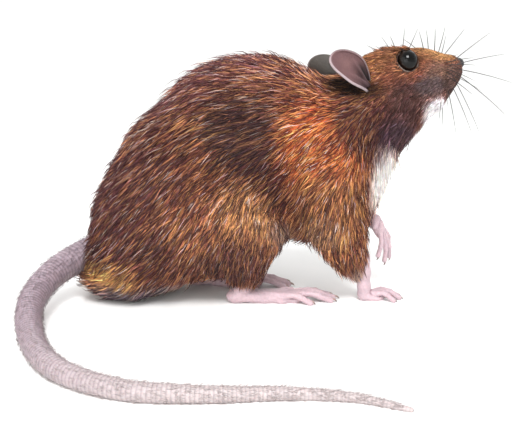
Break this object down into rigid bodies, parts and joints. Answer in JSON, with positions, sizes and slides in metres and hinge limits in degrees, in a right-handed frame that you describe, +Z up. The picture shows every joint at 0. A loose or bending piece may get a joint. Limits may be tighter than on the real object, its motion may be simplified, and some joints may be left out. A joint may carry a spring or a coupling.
{
  "type": "field mouse",
  "caption": "Life-size field mouse standing with its head raised and one forepaw lifted, its long tail laid on the floor.",
  "frame": {"origin": "on the floor, under the middle of the animal's bounding box", "axes": "+X towards the nose, +Y to the animal's left, +Z up from the soles"},
  "size_m": [0.1094, 0.083, 0.0631],
  "materials": {
    "coat": "coarse rufous-brown fur with dark guard hairs",
    "face": "short ochre-brown fur",
    "chin": "short fur, brown cheeks over a whitish chin",
    "bare_skin": "bare pale pink skin with grey-brown claws",
    "tail_skin": "ringed scaly grey-mauve skin, paler towards the tip",
    "ear": "thin purple-brown skin with fine short hairs",
    "eye": "wet gloss black",
    "nose": "moist dark grey skin"
  },
  "bodies": {
    "root": {"head": "face", "jaw": "chin", "nose": "nose", "neck": "coat", "trunk": "coat", "ear_right": "ear", "eye_right": "eye", "whiskers_right": "face", "upper_arm_right": "coat", "forearm_right": "coat", "thigh_right": "coat", "shin_right": "coat", "forepaw_right": "bare_skin", "hindfoot_right": "bare_skin", "ear_left": "ear", "eye_left": "eye", "whiskers_left": "face", "upper_arm_left": "coat", "forearm_left": "coat", "thigh_left": "coat", "shin_left": "coat", "forepaw_left": "bare_skin", "hindfoot_left": "bare_skin", "tail_1": "tail_skin", "tail_2": "tail_skin", "tail_3": "tail_skin", "tail_4": "tail_skin", "tail_5": "tail_skin"}
  },
  "joints": []
}
